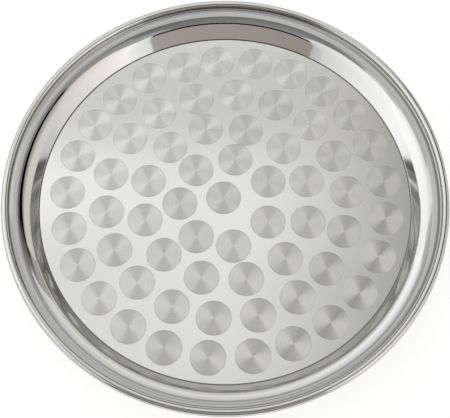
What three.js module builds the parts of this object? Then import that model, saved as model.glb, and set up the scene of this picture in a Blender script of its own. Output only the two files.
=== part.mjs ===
// Round stainless steel dinner tray: one pressed sheet whose edge is curled over a steel hoop.
// Millimetres, +Z up. The origin is the centre of the underside, on the table.
import * as THREE from 'three';

// Overall size
const overallDiameter = 355.6;     // the 14 inch catalogue size, over the curled edge
const sheetThickness = 0.6;

// Well: flat floor, straight sloping wall and a wide, rounded shoulder
const wellDepth = 13.4;            // floor to the flange
const wallSlope = 50;              // degrees up from the floor
const floorBendRadius = 2;         // middle of the sheet, floor to wall
const shoulderBendRadius = 20;     // middle of the sheet, wall to flange

// Flange: the narrow level ring between the shoulder and the curled edge
const flangeWidth = 0.6;

// Wired edge: the sheet turns up, rolls over a wire hoop and tucks back under the flange
const wireDiameter = 4;
const wireClearance = 0.3;         // between the wire and the curl
const creaseBendRadius = 1.2;      // middle of the sheet, flange to curl
const creaseLean = 14;             // degrees past upright that the sheet leans before it rolls over
const curlSeam = 0.5;              // open gap between the curl's cut edge and the crease

// Smoothness of the round forms
const turnSteps = 72;              // round the tray
const bendStep = THREE.MathUtils.degToRad(20);      // tight bends and the curl
const shoulderStep = THREE.MathUtils.degToRad(7);   // the wide shoulder
const wireSides = 10;

// Pressed sheet, worked out on the middle of its thickness
const wall = THREE.MathUtils.degToRad(wallSlope);
const lean = THREE.MathUtils.degToRad(creaseLean);
const halfSheet = sheetThickness / 2;
const wireRadius = wireDiameter / 2;
const curlRadius = wireRadius + wireClearance + halfSheet;

// Heights of the bend centres, from the table up
const floorBendHeight = halfSheet + floorBendRadius;
const shoulderBendHeight = halfSheet + wellDepth - shoulderBendRadius;
const creaseHeight = halfSheet + wellDepth + creaseBendRadius;
const wireHeight = creaseHeight + (creaseBendRadius + curlRadius) * Math.sin(lean);
const wallLength = (shoulderBendHeight - floorBendHeight
  + (floorBendRadius + shoulderBendRadius) * Math.cos(wall)) / Math.sin(wall);

// Distances of the bend centres from the axis, from the edge inwards
const wireDistance = overallDiameter / 2 - curlRadius - halfSheet;
const creaseDistance = wireDistance - (creaseBendRadius + curlRadius) * Math.cos(lean);
const shoulderBendDistance = creaseDistance - flangeWidth;
const floorBendDistance = shoulderBendDistance - wallLength * Math.cos(wall)
  - (floorBendRadius + shoulderBendRadius) * Math.sin(wall);

const floorBend = new THREE.Vector2(floorBendDistance, floorBendHeight);
const shoulderBend = new THREE.Vector2(shoulderBendDistance, shoulderBendHeight);
const creaseBend = new THREE.Vector2(creaseDistance, creaseHeight);
const wireCentre = new THREE.Vector2(wireDistance, wireHeight);

// The curl stops where its cut edge keeps the seam clear of the crease:
// the triangle between the two bend centres and the edge gives the angle left open.
const centreSpan = creaseBendRadius + curlRadius;
const edgeSpan = creaseBendRadius + sheetThickness + curlSeam;
const openAngle = Math.acos(
  (centreSpan ** 2 + curlRadius ** 2 - edgeSpan ** 2) / (2 * centreSpan * curlRadius),
);

// Points of an arc from one angle to another, both ends included
function arc(centre, radius, from, to, step = bendStep) {
  const steps = Math.ceil(Math.abs(to - from) / step);
  const points = [];
  for (let i = 0; i <= steps; i++) {
    const angle = from + (to - from) * i / steps;
    points.push(new THREE.Vector2(
      centre.x + radius * Math.cos(angle),
      centre.y + radius * Math.sin(angle),
    ));
  }
  return points;
}

// One face of the sheet, from the tray's axis out to the cut edge in the curl.
// side is its distance from the middle of the sheet: below zero underneath, above zero on top.
function sheetFace(side) {
  const down = -Math.PI / 2;
  const up = Math.PI / 2;
  return [
    new THREE.Vector2(0, halfSheet + side),
    ...arc(floorBend, floorBendRadius - side, down, down + wall),
    ...arc(shoulderBend, shoulderBendRadius + side, up + wall, up, shoulderStep),
    ...arc(creaseBend, creaseBendRadius - side, down, lean),
    ...arc(wireCentre, curlRadius + side, Math.PI + lean, up).slice(1),
    ...arc(wireCentre, curlRadius + side, up, 0).slice(1),
    ...arc(wireCentre, curlRadius + side, 0, lean - Math.PI + openAngle).slice(1),
  ];
}

// A closed outline turned round the tray's axis, which points up
function turned(outline, name, material) {
  const mesh = new THREE.Mesh(new THREE.LatheGeometry(outline, turnSteps), material);
  mesh.name = name;
  mesh.rotation.x = Math.PI / 2;
  return mesh;
}

// The pressed pan: out along the underside, round the inside of the curl, back along the top
function pressedPan() {
  const material = new THREE.MeshStandardMaterial({ color: 0xd9d9d4, roughness: 0.22, metalness: 1 });
  const outline = [...sheetFace(-halfSheet), ...sheetFace(halfSheet).reverse()];
  return turned(outline, 'pressed_pan', material);
}

// The stiffening hoop of round wire, closed end to end inside the curl
function rimWire() {
  const material = new THREE.MeshStandardMaterial({ color: 0xa8a8a4, roughness: 0.45, metalness: 1 });
  const outline = [];
  for (let i = 0; i <= wireSides; i++) {
    const angle = 2 * Math.PI * (i % wireSides) / wireSides;
    outline.push(new THREE.Vector2(
      wireCentre.x + wireRadius * Math.cos(angle),
      wireCentre.y + wireRadius * Math.sin(angle),
    ));
  }
  return turned(outline, 'rim_wire', material);
}

const tray = new THREE.Group();
tray.add(pressedPan(), rimWire());

export default tray;
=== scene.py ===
import math
import random

import bpy
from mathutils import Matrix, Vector
from mathutils.geometry import delaunay_2d_cdt


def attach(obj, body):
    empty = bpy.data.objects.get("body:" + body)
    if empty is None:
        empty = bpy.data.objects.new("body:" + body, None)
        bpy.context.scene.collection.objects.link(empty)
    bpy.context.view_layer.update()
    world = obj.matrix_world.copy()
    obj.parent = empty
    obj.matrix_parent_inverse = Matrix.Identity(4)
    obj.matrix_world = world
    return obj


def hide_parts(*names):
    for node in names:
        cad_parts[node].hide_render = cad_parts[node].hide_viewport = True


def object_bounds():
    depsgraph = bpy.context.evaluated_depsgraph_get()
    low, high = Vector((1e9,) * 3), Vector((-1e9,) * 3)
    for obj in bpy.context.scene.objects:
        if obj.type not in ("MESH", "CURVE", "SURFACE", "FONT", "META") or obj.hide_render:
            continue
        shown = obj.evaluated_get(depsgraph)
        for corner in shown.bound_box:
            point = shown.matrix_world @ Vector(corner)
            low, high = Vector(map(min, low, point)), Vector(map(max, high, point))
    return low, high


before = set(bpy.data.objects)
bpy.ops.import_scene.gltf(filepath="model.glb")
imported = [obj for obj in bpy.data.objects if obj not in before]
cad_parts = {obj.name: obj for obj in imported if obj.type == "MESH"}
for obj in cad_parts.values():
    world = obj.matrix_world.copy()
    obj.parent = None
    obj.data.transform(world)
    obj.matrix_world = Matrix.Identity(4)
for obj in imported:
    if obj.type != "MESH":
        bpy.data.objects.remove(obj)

cad_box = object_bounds()

# Units and directions
MM = 0.001
UP = math.pi / 2
DOWN = -math.pi / 2

# Sheet and profile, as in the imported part
OUTER_RADIUS = cad_box[1].x
SHEET = 0.6 * MM
WELL_DEPTH = 13.4 * MM
WALL_SLOPE = math.radians(50)
FLOOR_BEND = 2 * MM
SHOULDER_BEND = 20 * MM
FLANGE_WIDTH = 0.6 * MM
WIRE_RADIUS = 2 * MM
WIRE_CLEARANCE = 0.3 * MM
CREASE_BEND = 1.2 * MM
CREASE_LEAN = math.radians(14)
CURL_SEAM = 0.5 * MM

# Swirl spots: one near the middle and rings round it, with angles in degrees. On the side that a ring points
# towards, its spots are turned on from their even places by its drift, and on the other side turned back.
# Each is also a little out of place, as in a pattern stepped by hand.
SPOT_RADIUS = 14.2 * MM
CENTRE_SPOT = (-1.3 * MM, 4.5 * MM)
PATTERN_MIDDLE = (1.1 * MM, 0.2 * MM)
SPOT_RINGS = [
    {"count": 7, "radius": 37.7 * MM, "start": 179.7, "drift": 2.3, "towards": 105},
    {"count": 12, "radius": 66.9 * MM, "start": 164.3, "drift": 1.9, "towards": 35},
    {"count": 18, "radius": 97.3 * MM, "start": 164.8, "drift": 0.7, "towards": 34},
    {"count": 25, "radius": 128.8 * MM, "start": 178.4, "drift": 3.0, "towards": 19},
]
SPOT_JITTER = 0.6 * MM
SPOT_SEED = 43776
TONE_SEED = 43777

# Mesh steps
TURN_STEPS = 288
BEND_STEPS = 8
SHOULDER_STEPS = 24
CURL_STEPS = 13        # in each of the curl's three stretches
EDGE_STEPS = 6
WIRE_STEPS = 24
SPOT_STEPS = 48
UNDERSIDE_RINGS = 6

# Triangulation of the floor: this kind keeps all the triangles in its outline, and closer points are merged
HULL_TRIANGLES = 0
MERGE_DISTANCE = 1e-4 * MM

# Profile worked out on the middle of the sheet: heights from the table up, distances from the rim in
HALF_SHEET = SHEET / 2
CURL_RADIUS = WIRE_RADIUS + WIRE_CLEARANCE + HALF_SHEET
CENTRE_SPAN = CREASE_BEND + CURL_RADIUS
FLOOR_BEND_HEIGHT = HALF_SHEET + FLOOR_BEND
SHOULDER_HEIGHT = HALF_SHEET + WELL_DEPTH - SHOULDER_BEND
CREASE_HEIGHT = HALF_SHEET + WELL_DEPTH + CREASE_BEND
WIRE_HEIGHT = CREASE_HEIGHT + CENTRE_SPAN * math.sin(CREASE_LEAN)
WALL_LENGTH = (
    SHOULDER_HEIGHT - FLOOR_BEND_HEIGHT + (FLOOR_BEND + SHOULDER_BEND) * math.cos(WALL_SLOPE)
) / math.sin(WALL_SLOPE)
WIRE_DISTANCE = OUTER_RADIUS - CURL_RADIUS - HALF_SHEET
CREASE_DISTANCE = WIRE_DISTANCE - CENTRE_SPAN * math.cos(CREASE_LEAN)
SHOULDER_DISTANCE = CREASE_DISTANCE - FLANGE_WIDTH
FLOOR_RADIUS = (
    SHOULDER_DISTANCE
    - WALL_LENGTH * math.cos(WALL_SLOPE)
    - (FLOOR_BEND + SHOULDER_BEND) * math.sin(WALL_SLOPE)
)

# The curl ends where its rounded edge keeps the seam clear of the crease
EDGE_SPAN = CREASE_BEND + SHEET + CURL_SEAM
OPEN_ANGLE = math.acos(
    (CENTRE_SPAN ** 2 + CURL_RADIUS ** 2 - EDGE_SPAN ** 2) / (2 * CENTRE_SPAN * CURL_RADIUS)
)
CURL_END = CREASE_LEAN - math.pi + OPEN_ANGLE + HALF_SHEET / CURL_RADIUS

# Colours of the steel
POLISHED_COLOUR = (0.72, 0.72, 0.695)
FLOOR_COLOUR = (0.80, 0.80, 0.755)
UNDERSIDE_COLOUR = (0.72, 0.72, 0.70)
WIRE_COLOUR = (0.60, 0.60, 0.58)

# Roughness of each finish, from its smoothest line to its roughest
POLISHED_ROUGHNESS = (0.03, 0.08)
SATIN_ROUGHNESS = (0.14, 0.18)
SWIRL_ROUGHNESS = (0.37, 0.43)
UNDERSIDE_ROUGHNESS = (0.24, 0.38)
WIRE_ROUGHNESS = (0.38, 0.52)

# Tint of the finished top's reflections near a glancing angle
GLANCING_TINT = 0.3

# Spun grooves of the flange and the bead: their number to the metre, depth and growth on the shoulder
GROOVE_DENSITY = 500
GROOVE_DEPTH = 0.15 * MM
GROOVE_START = SHOULDER_DISTANCE - SHOULDER_BEND / 2
GROOVE_FULL = SHOULDER_DISTANCE - SHOULDER_BEND / 4

# Painted shade on the polished top, as brightness beside the wall's: the flange and the bead painted darker,
# and a dark line painted into the bend at the wall's foot over most of its width
FLANGE_PAINTED_SHADE = 0.64
BEAD_PAINTED_SHADE = 0.9
FOOT_PAINTED_SHADE = 0.2
FOOT_WIDTH = (FLOOR_BEND - HALF_SHEET) * math.sin(WALL_SLOPE)
FOOT_PAINTED_SHARE = 0.6

# Ground between the spots: brush lines to the metre along X, Y and Z, long along X, and their tones
BRUSH_DENSITY = (25, 500, 25)
BRUSH_TONES = (0.98, 1.02)

# Spots: rings of their grooves to the metre, tones of the rings and of whole spots, and the share of the
# radius from which a spot grows darker towards its edge. The shift moves the noise of the rings by a spot's
# own tone, so that no two spots are alike.
SWIRL_ANISOTROPY = 0.95
RING_DENSITY = 1100
RING_SHIFT = 0.3
RING_TONES = (0.9, 1.08)
SPOT_TONES = (0.95, 1.04)
EDGE_DARK_SHARE = 0.9
EDGE_DARK_TONE = 0.9

# Camera: a long lens just over a metre away, 68 degrees up
LENS = 102.5
SENSOR = 36
CAMERA_DISTANCE = 1030 * MM
CAMERA_ELEVATION = math.radians(68.11)
AIM = Vector((-0.14 * MM, -5.31 * MM, SHEET))

# Studio floor, just under the tray: a grey that the camera and the steel see lit up to white
STUDIO_REACH = 30
STUDIO_STEPS = 64
STUDIO_DROP = 0.05 * MM
STUDIO_GREY = 0.3
STUDIO_GLOW = 0.8

# Light tent: a box of white cloth round the tray, lit from outside, with dark openings
TENT_HALF = 600 * MM
TENT_TOP = 1200 * MM
TENT_WALLS = {
    "left": lambda across, up: (-TENT_HALF, across, up),
    "right": lambda across, up: (TENT_HALF, across, up),
    "far": lambda across, up: (across, TENT_HALF, up),
    "front": lambda across, up: (across, -TENT_HALF, up),
    "top": lambda across, up: (across, up, TENT_TOP),
}
WHITE = (1, 1, 1)
WARM = (1, 0.98, 0.92)
ROSE = (1, 0.96, 0.93)
BROWN = (1, 0.9, 0.83)

# Its panels: wall, reach across (front to far, or left to right) and up (front to far on the top) in
# millimetres, brightness at both ends of the reach across, colour and, on a slanted panel, the reach across
# its upper edge
TENT_PANELS = {
    "left_front": ("left", (-600, 50), (120, 1200), (0.85, 1.35), WHITE),
    "left_far": ("left", (50, 600), (120, 1200), (1.35, 1.15), WHITE),
    "left_low_front": ("left", (-600, -100), (60, 120), (0.25, 0.25), BROWN),
    "left_low_middle": ("left", (-100, 300), (60, 120), (1.3, 1.15), WHITE),
    "left_low_far": ("left", (300, 600), (60, 120), (0.5, 0.5), WHITE),
    "far_upper": ("far", (-600, 200), (770, 1200), (0.75, 0.65), WHITE),
    "far_middle": ("far", (-600, 400), (250, 770), (1.3, 0.85), WHITE),
    "far_foot": ("far", (-600, 400), (120, 250), (0.95, 0.7), WHITE),
    "far_low": ("far", (-600, 600), (0, 120), (0.5, 0.75), WARM),
    "far_right": ("far", (400, 600), (120, 500), (0.45, 0.45), WARM),
    "far_corner": ("far", (200, 600), (770, 1200), (0.6, 0), WARM),
    "far_corner_low": ("far", (400, 600), (500, 770), (0.35, 0), WARM),
    "right_front": ("right", (-600, 0), (120, 1200), (1.3, 0.85), ROSE),
    "right_far": ("right", (0, 600), (120, 600), (0.85, 0.75), WARM),
    "right_upper": ("right", (0, 590), (600, 1200), (0.75, 0.35), WARM, (0, 160)),
    "right_corner": ("right", (590, 600), (600, 1200), (0, 0), WHITE, (160, 600)),
    "right_low_front": ("right", (-600, 0), (60, 120), (2.4, 0.8), WARM),
    "right_low_far": ("right", (0, 600), (60, 120), (0.8, 0.45), WHITE),
    "front_left": ("front", (-600, -500), (200, 960), (0.8, 0.65), WHITE, (-600, -560)),
    "front_board": ("front", (-500, 400), (200, 960), (0.4, 0.48), BROWN, (-560, 460)),
    "front_right": ("front", (400, 600), (200, 960), (0.95, 1.15), WHITE, (460, 600)),
    "front_slot": ("front", (-560, 460), (960, 1200), (0, 0), WHITE),
    "front_slot_left": ("front", (-600, -560), (960, 1200), (0.8, 0.8), WHITE),
    "front_slot_right": ("front", (460, 600), (960, 1200), (1.1, 1.1), WHITE),
    "front_low": ("front", (-600, 100), (60, 200), (0.1, 0.1), WHITE),
    "front_low_right": ("front", (100, 600), (60, 200), (0.1, 1.05), WHITE),
    "left_skirt": ("left", (-600, 600), (0, 60), (0.1, 0.1), WHITE),
    "right_skirt": ("right", (-600, 600), (0, 60), (0.1, 0.1), WHITE),
    "front_skirt": ("front", (-600, 600), (0, 60), (0.1, 0.1), WHITE),
    "top_far_left": ("top", (-600, 0), (450, 600), (1.3, 0.98), WHITE),
    "top_near_left": ("top", (-600, 0), (100, 450), (0.75, 0.98), WHITE),
    "top_far_right": ("top", (0, 280), (380, 600), (1.1, 0.65), WHITE),
    "top_near_right": ("top", (0, 280), (100, 380), (0.98, 0.5), WHITE),
    "top_far_end": ("top", (280, 500), (100, 600), (0.46, 0.36), WHITE),
    "top_far_gap": ("top", (500, 600), (100, 600), (0, 0), WHITE),
    "top_left": ("top", (-600, -480), (-600, 100), (1.0, 1.0), WHITE),
    "top_middle": ("top", (-480, 300), (-600, 100), (0.33, 0.25), WHITE),
    "top_right": ("top", (300, 600), (-600, 100), (0.44, 0.44), WHITE),
}


# Profile

def arc(centre, radius, start, end, steps, facing):
    """Points of an arc as (distance, height, normal out, normal up), with inward normals if facing is -1."""
    points = []
    for i in range(steps + 1):
        angle = start + (end - start) * i / steps
        out, up = math.cos(angle), math.sin(angle)
        points.append((centre[0] + radius * out, centre[1] + radius * up, facing * out, facing * up))
    return points


def sheet_face(side):
    """One face of the sheet from the floor's edge to the cut edge, side away from its middle."""
    floor_bend = (FLOOR_RADIUS, FLOOR_BEND_HEIGHT)
    shoulder = (SHOULDER_DISTANCE, SHOULDER_HEIGHT)
    crease = (CREASE_DISTANCE, CREASE_HEIGHT)
    wire = (WIRE_DISTANCE, WIRE_HEIGHT)
    return [
        *arc(floor_bend, FLOOR_BEND - side, DOWN, DOWN + WALL_SLOPE, BEND_STEPS, -1),
        *arc(shoulder, SHOULDER_BEND + side, UP + WALL_SLOPE, UP, SHOULDER_STEPS, 1),
        *arc(crease, CREASE_BEND - side, DOWN, CREASE_LEAN, BEND_STEPS, -1),
        *arc(wire, CURL_RADIUS + side, math.pi + CREASE_LEAN, UP, CURL_STEPS, 1)[1:],
        *arc(wire, CURL_RADIUS + side, UP, 0, CURL_STEPS, 1)[1:],
        *arc(wire, CURL_RADIUS + side, 0, CURL_END, CURL_STEPS, 1)[1:],
    ]


def cut_edge():
    """The sheet's rounded edge inside the curl, from its top face to its underside."""
    middle = (
        WIRE_DISTANCE + CURL_RADIUS * math.cos(CURL_END),
        WIRE_HEIGHT + CURL_RADIUS * math.sin(CURL_END),
    )
    return arc(middle, HALF_SHEET, CURL_END, CURL_END - math.pi, EDGE_STEPS, 1)[1:-1]


# Spots

def spot_centres():
    """The middle of each swirl spot, ring by ring, with the small errors of a hand-stepped pattern."""
    draw = random.Random(SPOT_SEED)
    centres = [Vector(CENTRE_SPOT)]
    for ring in SPOT_RINGS:
        drift, towards = math.radians(ring["drift"]), math.radians(ring["towards"])
        for i in range(ring["count"]):
            even = math.radians(ring["start"] - 360 * i / ring["count"])
            angle = even + drift * math.cos(even - towards)
            ideal = Vector(PATTERN_MIDDLE) + ring["radius"] * Vector((math.cos(angle), math.sin(angle)))
            error = Vector((draw.gauss(0, SPOT_JITTER), draw.gauss(0, SPOT_JITTER)))
            centres.append(ideal + error)
    return centres


def circle(centre, radius, steps):
    """Points round a flat circle."""
    return [
        Vector((
            centre[0] + radius * math.cos(2 * math.pi * i / steps),
            centre[1] + radius * math.sin(2 * math.pi * i / steps),
        ))
        for i in range(steps)
    ]


def floor_triangles(centres):
    """The floor cut along every spot's edge: its points, and its triangles with the spot that each is in."""
    points = circle((0, 0), FLOOR_RADIUS, TURN_STEPS)
    edges = [(i, (i + 1) % TURN_STEPS) for i in range(TURN_STEPS)]
    for centre in centres:
        first = len(points)
        points += circle(centre, SPOT_RADIUS, SPOT_STEPS)
        edges += [(first + i, first + (i + 1) % SPOT_STEPS) for i in range(SPOT_STEPS)]
        points += circle(centre, SPOT_RADIUS / 2, SPOT_STEPS // 2)
        points.append(centre)
    points, _, faces, _, _, _ = delaunay_2d_cdt(points, edges, [], HULL_TRIANGLES, MERGE_DISTANCE)
    triangles = []
    for face in faces:
        middle = sum((points[i] for i in face), Vector((0, 0))) / len(face)
        inside = [spot for spot, centre in enumerate(centres) if (middle - centre).length < SPOT_RADIUS]

        # Where two spots overlap, the later one lies on top
        triangles.append((face, inside[-1] if inside else None))
    return points, triangles


# Meshes, with the order of the pan's materials

SATIN, SWIRL, POLISHED, UNDERSIDE = range(4)


def ring_faces(low, high):
    """Faces between two rings of points, each given by the index of its first point."""
    faces = []
    for i in range(TURN_STEPS):
        following = (i + 1) % TURN_STEPS
        faces.append((low + i, high + i, high + following, low + following))
    return faces


def turned(profile):
    """Points, normals and faces of a profile turned round the tray's axis."""
    points, normals, faces = [], [], []
    for distance, height, out, up in profile:
        for i in range(TURN_STEPS):
            angle = 2 * math.pi * i / TURN_STEPS
            across, along = math.cos(angle), math.sin(angle)
            points.append((distance * across, distance * along, height))
            normals.append((out * across, out * along, up))
    for j in range(len(profile) - 1):
        faces += ring_faces(j * TURN_STEPS, (j + 1) * TURN_STEPS)
    return points, normals, faces


def add_object(name, data):
    """A new object in the scene."""
    made = bpy.data.objects.new(name, data)
    bpy.context.scene.collection.objects.link(made)
    return made


def smooth_object(name, points, normals, faces, kinds, materials):
    """A smooth mesh object with exact normals and one material index for each face."""
    mesh = bpy.data.meshes.new(name)
    mesh.from_pydata(points, [], faces)
    for material in materials:
        mesh.materials.append(material)
    mesh.polygons.foreach_set("material_index", kinds)
    mesh.shade_smooth()
    mesh.normals_split_custom_set_from_vertices(normals)
    return add_object(name, mesh)


def tray_pan(materials):
    """The pressed pan as one closed mesh: spotted floor, polished wall, curled rim and plain underside."""
    top = sheet_face(HALF_SHEET)
    bottom = reversed(sheet_face(-HALF_SHEET))
    under = [(distance, height, -out, -up) for distance, height, out, up in bottom]
    inner = [
        (FLOOR_RADIUS * (1 - i / UNDERSIDE_RINGS), 0, 0, -1) for i in range(1, UNDERSIDE_RINGS)
    ]
    points, normals, faces = turned(top + cut_edge() + under + inner)
    top_faces = (len(top) - 1) * TURN_STEPS
    kinds = [POLISHED] * top_faces + [UNDERSIDE] * (len(faces) - top_faces)

    # Underside's middle
    last_ring = len(points) - TURN_STEPS
    hub = len(points)
    points.append((0, 0, 0))
    normals.append((0, 0, -1))
    for i in range(TURN_STEPS):
        faces.append((last_ring + i, hub, last_ring + (i + 1) % TURN_STEPS))
        kinds.append(UNDERSIDE)

    # Floor, sharing the first ring of the wall's profile
    centres = spot_centres()
    flat, triangles = floor_triangles(centres)
    first = len(points)
    for x, y in flat[TURN_STEPS:]:
        points.append((x, y, SHEET))
        normals.append((0, 0, 1))
    spot_of_face = [None] * len(faces)
    for face, spot in triangles:
        corners = [i if i < TURN_STEPS else first + i - TURN_STEPS for i in face]
        faces.append(corners)
        kinds.append(SATIN if spot is None else SWIRL)
        spot_of_face.append(spot)

    pan = smooth_object("tray_pan", points, normals, faces, kinds, materials)
    mark_spots(pan.data, centres, spot_of_face)
    return pan


def mark_spots(mesh, centres, spot_of_face):
    """Stores on each spot's corners their place from the spot's middle, and the spot's own tone."""
    draw = random.Random(TONE_SEED)
    tones = [draw.random() for _ in centres]
    places = [0.0] * (3 * len(mesh.loops))
    shades = [0.0] * len(mesh.loops)
    for face, spot in zip(mesh.polygons, spot_of_face):
        if spot is None:
            continue
        for corner in face.loop_indices:
            at = mesh.vertices[mesh.loops[corner].vertex_index].co.xy - centres[spot]
            places[3 * corner:3 * corner + 2] = at
            shades[corner] = tones[spot]
    mesh.attributes.new("spot_place", "FLOAT_VECTOR", "CORNER").data.foreach_set("vector", places)
    mesh.attributes.new("spot_tone", "FLOAT", "CORNER").data.foreach_set("value", shades)


def rim_hoop(material):
    """The round wire that the edge is curled over."""
    wire = (WIRE_DISTANCE, WIRE_HEIGHT)
    profile = arc(wire, WIRE_RADIUS, 2 * math.pi, 0, WIRE_STEPS, 1)[:-1]
    points, normals, faces = turned(profile)
    faces += ring_faces((WIRE_STEPS - 1) * TURN_STEPS, 0)
    return smooth_object("rim_hoop", points, normals, faces, [0] * len(faces), [material])


# Shader nodes

def new_material(name):
    """A new material and its node tree."""
    material = bpy.data.materials.new(name)
    material.use_nodes = True
    return material, material.node_tree


def node(tree, kind, inputs=(), **settings):
    """A node with its settings, and its inputs linked from sockets or set to values."""
    made = tree.nodes.new(kind)
    for name, value in settings.items():
        setattr(made, name, value)
    for key, value in dict(inputs).items():
        if isinstance(value, bpy.types.NodeSocket):
            tree.links.new(value, made.inputs[key])
        else:
            made.inputs[key].default_value = value
    return made


def calculate(tree, operation, first, second):
    """The result of an operation on two numbers."""
    return node(tree, "ShaderNodeMath", {0: first, 1: second}, operation=operation).outputs[0]


def vector_math(tree, operation, inputs, output="Vector"):
    """The result of an operation on vectors."""
    return node(tree, "ShaderNodeVectorMath", inputs, operation=operation).outputs[output]


def ramp(tree, value, start, end, low=0, high=1):
    """Maps a value from start..end to low..high, and holds it there beyond them."""
    return node(tree, "ShaderNodeMapRange", {0: value, 1: start, 2: end, 3: low, 4: high}).outputs[0]


def spread(tree, value, limits):
    """Maps a value from 0..1 to its limits."""
    return ramp(tree, value, 0, 1, *limits)


def noise(tree, place, detail):
    """Noise over a place that is already scaled to its grain."""
    return node(tree, "ShaderNodeTexNoise", {"Vector": place, "Scale": 1, "Detail": detail}).outputs[0]


def ring_noise(tree, distance, density, detail):
    """Noise that changes with distance alone."""
    inputs = {"W": distance, "Scale": density, "Detail": detail}
    return node(tree, "ShaderNodeTexNoise", inputs, noise_dimensions="1D").outputs[0]


def object_place(tree):
    """A point's place in the tray's frame."""
    return node(tree, "ShaderNodeTexCoord").outputs["Object"]


def flat_place(tree):
    """A point's place from the tray's axis, without its height."""
    return vector_math(tree, "MULTIPLY", {0: object_place(tree), 1: (1, 1, 0)})


def axis_distance(tree):
    """A point's distance from the tray's axis."""
    return vector_math(tree, "LENGTH", {0: flat_place(tree)}, "Value")


def turning_lines(tree, density, wander, detail):
    """Noise that changes fast across the tray's turning lines and slowly along them."""
    height = node(tree, "ShaderNodeSeparateXYZ", {0: object_place(tree)}).outputs["Z"]
    across = node(tree, "ShaderNodeCombineXYZ", {0: axis_distance(tree), 1: height}).outputs[0]
    along = vector_math(tree, "NORMALIZE", {0: flat_place(tree)})
    fine = vector_math(tree, "SCALE", {0: across, "Scale": density})
    slow = vector_math(tree, "SCALE", {0: along, "Scale": wander})
    return noise(tree, vector_math(tree, "ADD", {0: fine, 1: slow}), detail)


# Materials

def steel(name, colour, glancing=1):
    """A new metal material, with the tint of its reflections near a glancing angle; its tree and shader."""
    material, tree = new_material(name)
    shader = tree.nodes["Principled BSDF"]
    shader.inputs["Metallic"].default_value = 1
    shader.inputs["Base Color"].default_value = (*colour, 1)
    shader.inputs["Specular Tint"].default_value = (glancing, glancing, glancing, 1)
    return material, tree, shader


def roughen(tree, shader, lines, limits):
    """Varies a shader's roughness between its limits, line by line."""
    tree.links.new(spread(tree, lines, limits), shader.inputs["Roughness"])


def shade(tree, shader, tone):
    """Scales a shader's own colour by a tone."""
    colour = shader.inputs["Base Color"].default_value[:3]
    shaded = vector_math(tree, "SCALE", {0: colour, "Scale": tone})
    tree.links.new(shaded, shader.inputs["Base Color"])


def polished_steel():
    """Mirror polish with faint turning lines, shallow grooves from spinning on the flange and the bead, and
    painted shade.
    """
    material, tree, shader = steel("polished_steel", POLISHED_COLOUR, GLANCING_TINT)
    lines = turning_lines(tree, density=2200, wander=1.2, detail=2)
    roughen(tree, shader, lines, POLISHED_ROUGHNESS)

    # Grooves, from nothing on the inner shoulder to full depth on the outer
    distance = axis_distance(tree)
    grooves = ring_noise(tree, distance, GROOVE_DENSITY, detail=1)
    grow = ramp(tree, distance, GROOVE_START, GROOVE_FULL)
    height = calculate(tree, "MULTIPLY", grooves, grow)
    bump = node(tree, "ShaderNodeBump", {"Strength": 1, "Distance": GROOVE_DEPTH, "Height": height})
    tree.links.new(bump.outputs[0], shader.inputs["Normal"])

    # Painted shade: a dark line painted into the bend at the wall's foot, and the flange and the bead
    # painted darker
    # The dark line in the bend is a painted reflection, darkest over most of the bend's width
    painted_line_end = FLOOR_RADIUS + FOOT_WIDTH * FOOT_PAINTED_SHARE
    painted_foot_line = ramp(tree, distance, painted_line_end, FLOOR_RADIUS + FOOT_WIDTH, FOOT_PAINTED_SHADE, 1)
    # The flange and the bead are painted darker, a painted shade that stands in for their darker reflections
    flange = spread(tree, grow, (1, FLANGE_PAINTED_SHADE))
    bead_start = CREASE_DISTANCE + CREASE_BEND
    bead = ramp(tree, distance, CREASE_DISTANCE, bead_start, 1, BEAD_PAINTED_SHADE / FLANGE_PAINTED_SHADE)
    rim_painted_shade = calculate(tree, "MULTIPLY", flange, bead)
    shade(tree, shader, calculate(tree, "MULTIPLY", painted_foot_line, rim_painted_shade))
    return material


def satin_steel():
    """Fine matt ground between the spots, brushed one way."""
    material, tree, shader = steel("satin_steel", FLOOR_COLOUR, GLANCING_TINT)
    brushed = vector_math(tree, "MULTIPLY", {0: object_place(tree), 1: BRUSH_DENSITY})
    grain = noise(tree, brushed, detail=3)
    roughen(tree, shader, grain, SATIN_ROUGHNESS)
    shade(tree, shader, spread(tree, grain, BRUSH_TONES))
    return material


def swirl_steel():
    """A spot of round grooves: it throws light across the grooves, so each spot shows turning wedges."""
    material, tree, shader = steel("swirl_steel", FLOOR_COLOUR, GLANCING_TINT)
    shader.inputs["Anisotropic"].default_value = SWIRL_ANISOTROPY
    place = node(tree, "ShaderNodeAttribute", attribute_name="spot_place").outputs["Vector"]
    tone = node(tree, "ShaderNodeAttribute", attribute_name="spot_tone").outputs["Fac"]

    # Uneven rings of the grooves, darker towards the edge, and each spot's own tone
    distance = vector_math(tree, "LENGTH", {0: place}, "Value")
    shift = calculate(tree, "MULTIPLY", tone, RING_SHIFT)
    rings = ring_noise(tree, calculate(tree, "ADD", distance, shift), RING_DENSITY, detail=2)
    roughen(tree, shader, rings, SWIRL_ROUGHNESS)
    edge = ramp(tree, distance, EDGE_DARK_SHARE * SPOT_RADIUS, SPOT_RADIUS, 1, EDGE_DARK_TONE)
    ringed = calculate(tree, "MULTIPLY", spread(tree, rings, RING_TONES), edge)
    shade(tree, shader, calculate(tree, "MULTIPLY", spread(tree, tone, SPOT_TONES), ringed))

    # Direction across the grooves, from the spot's middle outwards
    outward = node(
        tree,
        "ShaderNodeVectorTransform",
        {0: place},
        vector_type="VECTOR",
        convert_from="OBJECT",
        convert_to="WORLD",
    ).outputs[0]
    tree.links.new(vector_math(tree, "NORMALIZE", {0: outward}), shader.inputs["Tangent"])
    return material


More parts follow.
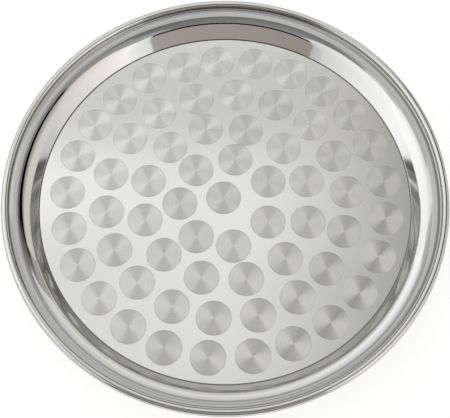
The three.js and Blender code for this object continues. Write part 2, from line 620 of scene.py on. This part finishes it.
def underside_steel():
    """Plain dull mill finish with turning lines."""
    material, tree, shader = steel("underside_steel", UNDERSIDE_COLOUR)
    lines = turning_lines(tree, density=1500, wander=1.5, detail=3)
    roughen(tree, shader, lines, UNDERSIDE_ROUGHNESS)
    return material


def wire_steel():
    """Drawn wire, duller than the sheet."""
    material, tree, shader = steel("wire_steel", WIRE_COLOUR)
    lines = turning_lines(tree, density=3000, wander=4, detail=2)
    roughen(tree, shader, lines, WIRE_ROUGHNESS)
    return material


# Studio

def tent_panel(name, wall, across, up, levels, colour, across_top=None):
    """A panel of the light tent, whose brightness runs evenly between the ends of its reach across."""
    place = TENT_WALLS[wall]
    start, end = across
    low, high = up
    top_start, top_end = across_top or across
    points = [
        place(start * MM, low * MM),
        place(end * MM, low * MM),
        place(top_end * MM, high * MM),
        place(top_start * MM, high * MM),
    ]
    mesh = bpy.data.meshes.new(name)
    mesh.from_pydata(points, [], [(0, 1, 2, 3)])
    glow = [levels[0], levels[1], levels[1], levels[0]]
    mesh.attributes.new("glow", "FLOAT", "POINT").data.foreach_set("value", glow)
    material, tree = new_material(name)
    tree.nodes.clear()
    strength = node(tree, "ShaderNodeAttribute", attribute_name="glow").outputs["Fac"]
    light = node(tree, "ShaderNodeEmission", {0: (*colour, 1), 1: strength}).outputs[0]
    node(tree, "ShaderNodeOutputMaterial", {0: light})
    mesh.materials.append(material)
    panel = add_object(name, mesh)
    panel.visible_camera = False


def studio_floor():
    """A wide floor that shows white and keeps a soft shadow."""
    points = [(*place, -STUDIO_DROP) for place in circle((0, 0), STUDIO_REACH, STUDIO_STEPS)]
    mesh = bpy.data.meshes.new("studio_floor")
    mesh.from_pydata(points, [], [list(range(STUDIO_STEPS))])
    material, tree = new_material("studio_floor")
    shader = tree.nodes["Principled BSDF"]
    shader.inputs["Base Color"].default_value = (STUDIO_GREY, STUDIO_GREY, STUDIO_GREY, 1)
    shader.inputs["Roughness"].default_value = 1
    shader.inputs["Specular IOR Level"].default_value = 0
    shader.inputs["Emission Color"].default_value = (*WHITE, 1)
    path = node(tree, "ShaderNodeLightPath").outputs
    seen = calculate(tree, "MAXIMUM", path["Is Camera Ray"], path["Is Glossy Ray"])
    shown = calculate(tree, "MAXIMUM", seen, path["Is Transmission Ray"])
    glow = calculate(tree, "MULTIPLY", shown, STUDIO_GLOW)
    tree.links.new(glow, shader.inputs["Emission Strength"])
    mesh.materials.append(material)
    floor = add_object("studio_floor", mesh)


def studio_world():
    """An even white surround."""
    world = bpy.data.worlds.new("studio_world")
    world.use_nodes = True
    bpy.context.scene.world = world
    background = world.node_tree.nodes["Background"]
    background.inputs["Color"].default_value = (*WHITE, 1)
    background.inputs["Strength"].default_value = 1


def photo_camera():
    """The camera at the photograph's viewing angle, the tray's +Y pointing away from it."""
    data = bpy.data.cameras.new("photo_camera")
    data.lens = LENS
    data.sensor_width = SENSOR
    camera = add_object("photo_camera", data)
    back = Vector((0, -math.cos(CAMERA_ELEVATION), math.sin(CAMERA_ELEVATION)))
    camera.location = AIM + CAMERA_DISTANCE * back
    camera.rotation_euler = (math.pi / 2 - CAMERA_ELEVATION, 0, 0)
    bpy.context.scene.camera = camera


# Scene

bpy.context.scene.view_settings.view_transform = "Standard"
photo_camera()

pan = tray_pan([satin_steel(), swirl_steel(), polished_steel(), underside_steel()])
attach(pan, "root")
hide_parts("pressed_pan")

hoop = rim_hoop(wire_steel())
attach(hoop, "root")
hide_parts("rim_wire")

studio_floor()
studio_world()
for name, panel in TENT_PANELS.items():
    tent_panel(name, *panel)
